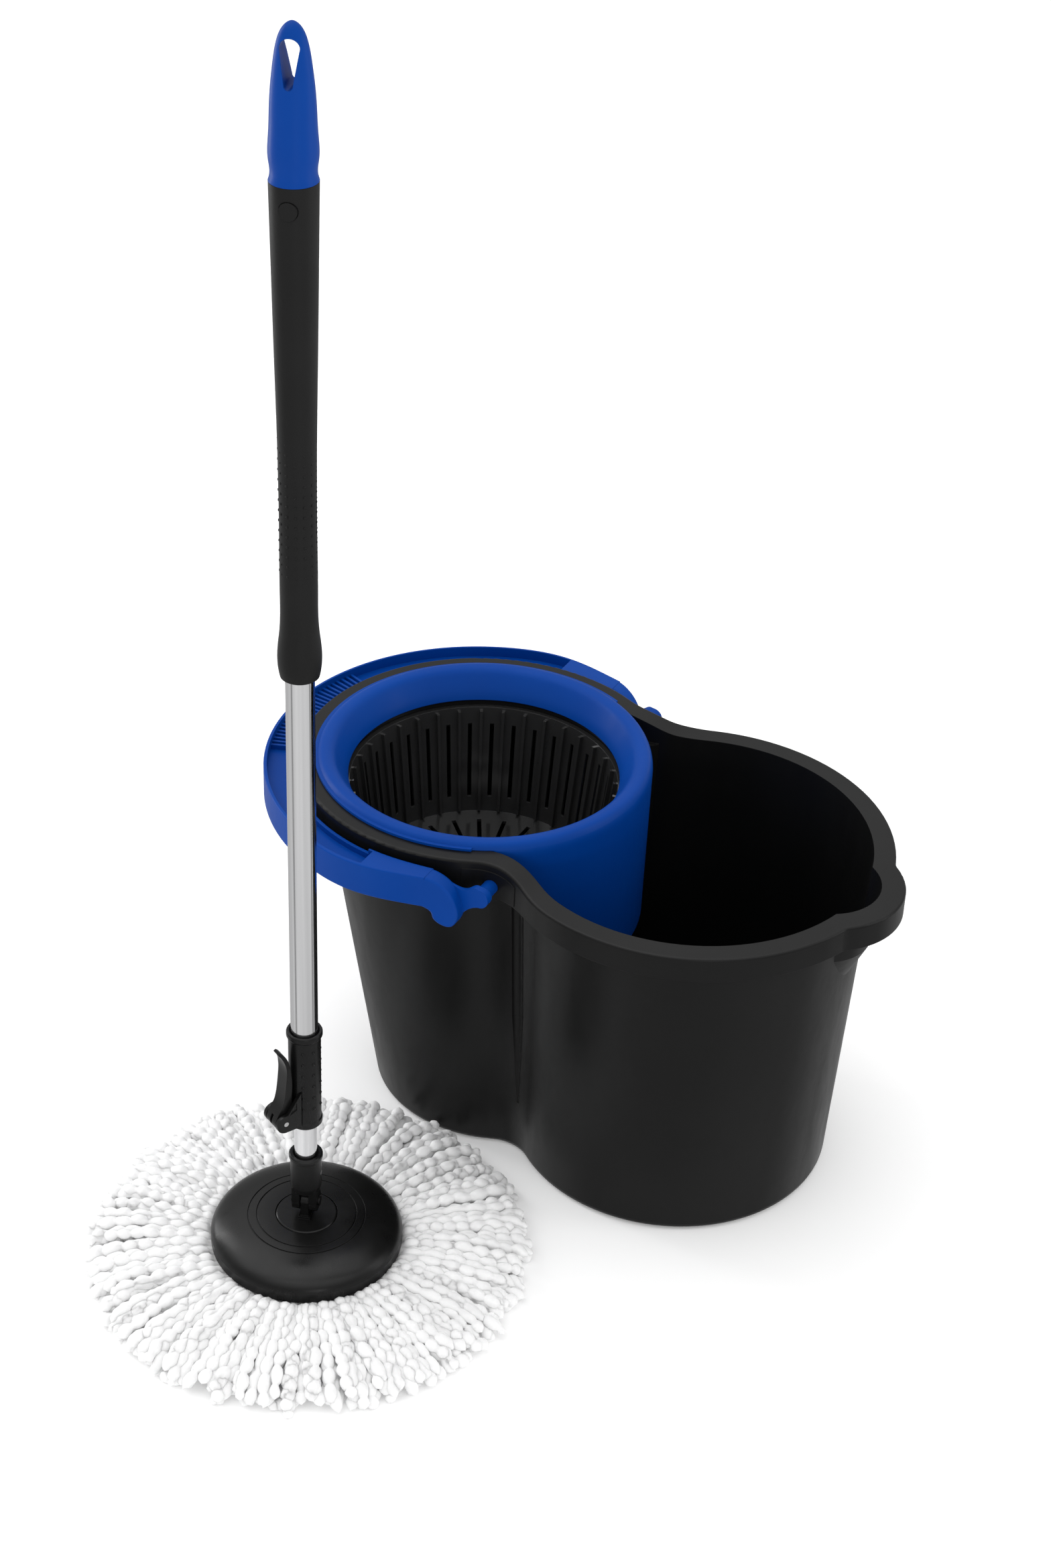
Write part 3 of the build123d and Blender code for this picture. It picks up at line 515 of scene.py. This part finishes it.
def area_light(name, place, target, size, power):
    """Large soft light aimed at a point."""
    data = bpy.data.lights.new(name, "AREA")
    data.shape = "RECTANGLE"
    data.size, data.size_y = size
    data.energy = power
    obj = bpy.data.objects.new(name, data)
    obj.location = place
    obj.rotation_euler = (Vector(target) - Vector(place)).to_track_quat("-Z", "Y").to_euler()
    bpy.context.collection.objects.link(obj)


def sun_light(name, toward, spread_deg, strength):
    """Even soft light from one direction."""
    data = bpy.data.lights.new(name, "SUN")
    data.angle = math.radians(spread_deg)
    data.energy = strength
    data.specular_factor = 0.0
    obj = bpy.data.objects.new(name, data)
    obj.rotation_euler = Vector(toward).to_track_quat("Z", "Y").to_euler()
    bpy.context.collection.objects.link(obj)


SIDE_PANEL = (0.606, -0.795, 0.0)      # level direction that the dark panels are set out from
PANEL_STOPS = (                        # place, 0 opposite to it and 1 the same way, and level there
    (0.0, 0.85), (0.53, 1.0), (0.585, 0.42), (0.625, 0.42), (0.68, 1.0), (1.0, 1.0),
)
GLOSS_LOW, GLOSS_HIGH = 0.3, 1.0       # height of a direction where the light starts and stops rising
GLOSS_SIDES, GLOSS_TOP = 0.62, 2.2     # light seen from there down, and straight overhead


def studio_gloss(tree):
    """Level seen in reflections: brighter overhead, with a dark panel at each side."""
    coords = tree.nodes.new("ShaderNodeTexCoord").outputs["Generated"]
    parts = tree.nodes.new("ShaderNodeSeparateXYZ")
    tree.links.new(coords, parts.inputs["Vector"])
    height = tree.nodes.new("ShaderNodeMapRange")
    height.interpolation_type = "SMOOTHSTEP"
    height.inputs["From Min"].default_value = GLOSS_LOW
    height.inputs["From Max"].default_value = GLOSS_HIGH
    height.inputs["To Min"].default_value = GLOSS_SIDES
    height.inputs["To Max"].default_value = GLOSS_TOP
    tree.links.new(parts.outputs["Z"], height.inputs["Value"])
    across = tree.nodes.new("ShaderNodeVectorMath")
    across.operation = "DOT_PRODUCT"
    across.inputs[1].default_value = SIDE_PANEL
    tree.links.new(coords, across.inputs[0])
    panel = tree.nodes.new("ShaderNodeValToRGB")
    panel.color_ramp.interpolation = "EASE"
    while len(panel.color_ramp.elements) < len(PANEL_STOPS):
        panel.color_ramp.elements.new(0.5)
    for element, (place, level) in zip(panel.color_ramp.elements, PANEL_STOPS):
        element.position = place
        element.color = (*grey(level), 1)
    half = tree.nodes.new("ShaderNodeMath")
    half.operation = "MULTIPLY_ADD"
    half.inputs[1].default_value = 0.5
    half.inputs[2].default_value = 0.5
    tree.links.new(across.outputs["Value"], half.inputs[0])
    tree.links.new(half.outputs["Value"], panel.inputs["Fac"])
    both = tree.nodes.new("ShaderNodeMath")
    both.operation = "MULTIPLY"
    tree.links.new(height.outputs["Result"], both.inputs[0])
    tree.links.new(panel.outputs["Color"], both.inputs[1])
    return both.outputs["Value"]


ROOM_LIGHT = 0.92                      # grey of the room as a light


def make_world():
    """White room: full white to the eye, softer as a light, panelled in reflections."""
    world = bpy.data.worlds.new("studio")
    bpy.context.scene.world = world
    world.use_nodes = True
    tree = world.node_tree
    path = tree.nodes.new("ShaderNodeLightPath")
    shader = tree.nodes["Background"].outputs["Background"]
    tree.nodes["Background"].inputs["Color"].default_value = (*grey(ROOM_LIGHT), 1)
    for ray in ("Is Glossy Ray", "Is Camera Ray"):
        back = tree.nodes.new("ShaderNodeBackground")
        back.inputs["Color"].default_value = (1, 1, 1, 1)
        if ray == "Is Glossy Ray":
            tree.links.new(studio_gloss(tree), back.inputs["Strength"])
        mix = tree.nodes.new("ShaderNodeMixShader")
        tree.links.new(path.outputs[ray], mix.inputs["Fac"])
        tree.links.new(shader, mix.inputs[1])
        tree.links.new(back.outputs["Background"], mix.inputs[2])
        shader = mix.outputs["Shader"]
    tree.links.new(shader, tree.nodes["World Output"].inputs["Surface"])


AIM = Vector((0.0, 0.0, 0.3))
CAM_PLACE = Vector((0.815, -1.555, 1.584))
CAM_TURN = math.radians(29.8)          # swing to the left of straight ahead
CAM_PITCH = math.radians(34.0)         # down from level
CAM_ROLL = math.radians(0.8)
CAM_LENS = 64.8                        # mm, on a sensor 36 mm wide
CAM_SHIFT = (0.0727, 0.0)
CAM_FAR = 50

# name, place, target, width and height, power
STRIPS = (
    ("left_strip", (-1.8, 0.05, 0.8), AIM, (0.4, 1.6), 11),
    ("right_strip", (1.5, 0.6, 0.7), AIM, (0.4, 1.4), 4),
    ("front_strip", (1.5, -1.9, 0.45), (MOP.x, MOP.y, 0.03), (0.6, 0.12), 2.5),
)
SKY_FROM = (-0.30, -0.10, 1.0)
SKY_SPREAD = 60                        # degrees
SKY_STRENGTH = 0.6


def make_camera():
    """Long view from above, right of the mop."""
    data = bpy.data.cameras.new("camera")
    data.sensor_width = 36.0
    data.lens = CAM_LENS
    data.shift_x, data.shift_y = CAM_SHIFT
    data.clip_end = CAM_FAR
    obj = bpy.data.objects.new("camera", data)
    aim = Matrix.Rotation(CAM_TURN, 4, "Z") @ Matrix.Rotation(math.pi / 2 - CAM_PITCH, 4, "X")
    obj.matrix_world = Matrix.Translation(CAM_PLACE) @ aim @ Matrix.Rotation(CAM_ROLL, 4, "Z")
    bpy.context.collection.objects.link(obj)
    bpy.context.scene.camera = obj


make_floor()
make_world()
sun_light("sky", SKY_FROM, SKY_SPREAD, SKY_STRENGTH)
for strip in STRIPS:
    area_light(*strip)
make_camera()
bpy.context.scene.view_settings.view_transform = "Standard"
